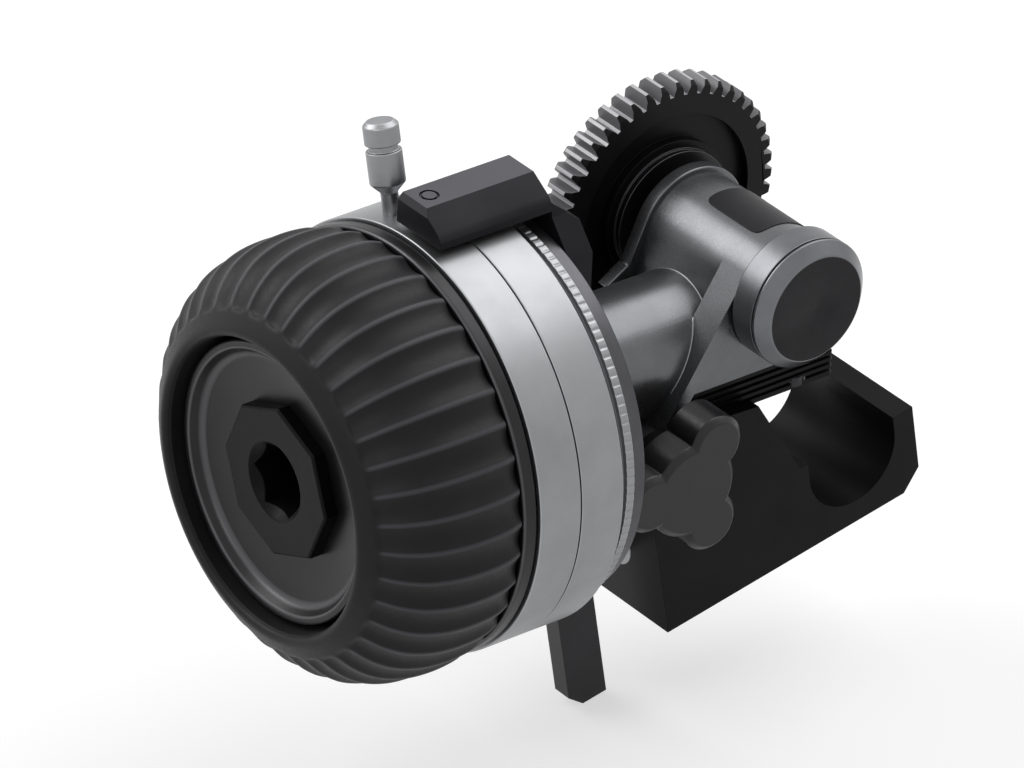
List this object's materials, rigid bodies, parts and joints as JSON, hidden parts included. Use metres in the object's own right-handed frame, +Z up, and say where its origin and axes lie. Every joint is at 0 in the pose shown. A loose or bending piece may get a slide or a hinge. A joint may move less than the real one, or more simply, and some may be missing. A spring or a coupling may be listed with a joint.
{
  "type": "lens follow focus",
  "caption": "Rod-mounted lens follow focus: ribbed hand wheel with two stop rings, right-angle gearbox, toothed drive gear and a swinging lever clamp for a 15 mm rod.",
  "frame": {"origin": "centre of the rod bore, half way along the clamp", "axes": "+X from the hand wheel to the gearbox, +Y along the rod towards the lens front, +Z up"},
  "size_m": [0.1039, 0.0612, 0.0932],
  "materials": {
    "black_anodised": "satin black anodised",
    "grey_anodised": "satin grey anodised",
    "silver_aluminium": "fine turned",
    "steel": "satin",
    "grip_rubber": "matt moulded",
    "gear_acetal": "matt moulded",
    "nylon": "matt",
    "knob_plastic": "matt moulded",
    "brass": "turned"
  },
  "bodies": {
    "rod_clamp": {"clamp_body": "black_anodised", "screw_bushing": "brass", "swing_washer": "nylon"},
    "clamp_plunger": {"clamp_plunger": "brass", "plunger_pad": "nylon"},
    "clamp_lever": {"clamp_screw": "steel", "clamp_lever": "black_anodised", "lever_pin": "steel"},
    "gearbox": {"housing": "grey_anodised", "end_cap": "grey_anodised", "front_cover": "black_anodised", "base_block": "black_anodised", "base_screws": "steel", "neck_bearings": "steel", "bearing_spacer": "steel", "retaining_ring": "steel", "barrel_bearings": "steel", "drum": "black_anodised", "friction_bands": "nylon", "ring_keeper": "black_anodised", "keeper_screws": "steel", "drum_nut": "steel", "index_arm": "black_anodised", "arm_screws": "steel", "swing_stud": "steel"},
    "hand_wheel": {"wheel_core": "silver_aluminium", "rubber_grip": "grip_rubber", "bezel_ring": "black_anodised", "front_cap": "grey_anodised", "drive_socket": "grey_anodised", "wheel_shaft": "steel", "wheel_bolt": "steel", "shaft_sleeves": "steel", "wheel_gear": "steel", "gear_clip": "steel"},
    "drive": {"output_shaft": "steel", "output_gear": "steel", "output_sleeve": "steel", "gear_hub": "black_anodised", "drive_gear": "gear_acetal", "gear_washer": "steel", "hub_screw": "steel"},
    "front_stop_ring": {"front_stop_ring": "silver_aluminium"},
    "stop_pin": {"stop_pin": "silver_aluminium"},
    "rear_stop_ring": {"rear_stop_ring": "silver_aluminium", "knurled_ring": "black_anodised"},
    "lock_knob": {"lock_knob": "knob_plastic", "knob_insert": "brass", "knob_washer": "steel"}
  },
  "joints": [
    {"name": "gearbox_swing", "type": "hinge", "parent": "rod_clamp", "child": "gearbox", "pos_m": [-0.0335, 0, 0.0093], "axis": [0, 1, 0], "range_deg": [-11, 7]},
    {"name": "wheel_turn", "type": "hinge", "parent": "gearbox", "child": "hand_wheel", "pos_m": [-0.08, 0.003, 0.0195], "axis": [1, 0, 0], "continuous": true},
    {"name": "drive_turn", "type": "hinge", "parent": "gearbox", "child": "drive", "pos_m": [-0.012, 0.003, 0.0295], "axis": [0, 1, 0], "continuous": true},
    {"name": "front_stop_turn", "type": "hinge", "parent": "gearbox", "child": "front_stop_ring", "pos_m": [-0.06465, 0.003, 0.0195], "axis": [1, 0, 0], "range_deg": [-330, 4]},
    {"name": "rear_stop_turn", "type": "hinge", "parent": "gearbox", "child": "rear_stop_ring", "pos_m": [-0.05765, 0.003, 0.0195], "axis": [1, 0, 0], "continuous": true},
    {"name": "stop_pin_turn", "type": "hinge", "parent": "front_stop_ring", "child": "stop_pin", "pos_m": [-0.06465, 0.01076, 0.04848], "axis": [0, 0.2588, 0.9659], "range_deg": [-20, 340]},
    {"name": "lock_knob_turn", "type": "hinge", "parent": "gearbox", "child": "lock_knob", "pos_m": [-0.0335, -0.014, 0.0093], "axis": [0, -1, 0], "range_deg": [-10, 300]},
    {"name": "clamp_plunger_slide", "type": "slide", "parent": "rod_clamp", "child": "clamp_plunger", "axis": [0.9816, 0, 0.1908], "range_m": [-0.00055556, 0.000055556]},
    {"name": "clamp_lever_turn", "type": "hinge", "parent": "clamp_plunger", "child": "clamp_lever", "pos_m": [-0.03436, 0, -0.00668], "axis": [0.9816, 0, 0.1908], "range_deg": [-100, 10]}
  ],
  "couplings": [
    {"joint": "drive_turn", "follows": "wheel_turn", "ratio": 1},
    {"joint": "clamp_lever_turn", "follows": "clamp_plunger_slide", "rad_per_m": 3141.6}
  ]
}
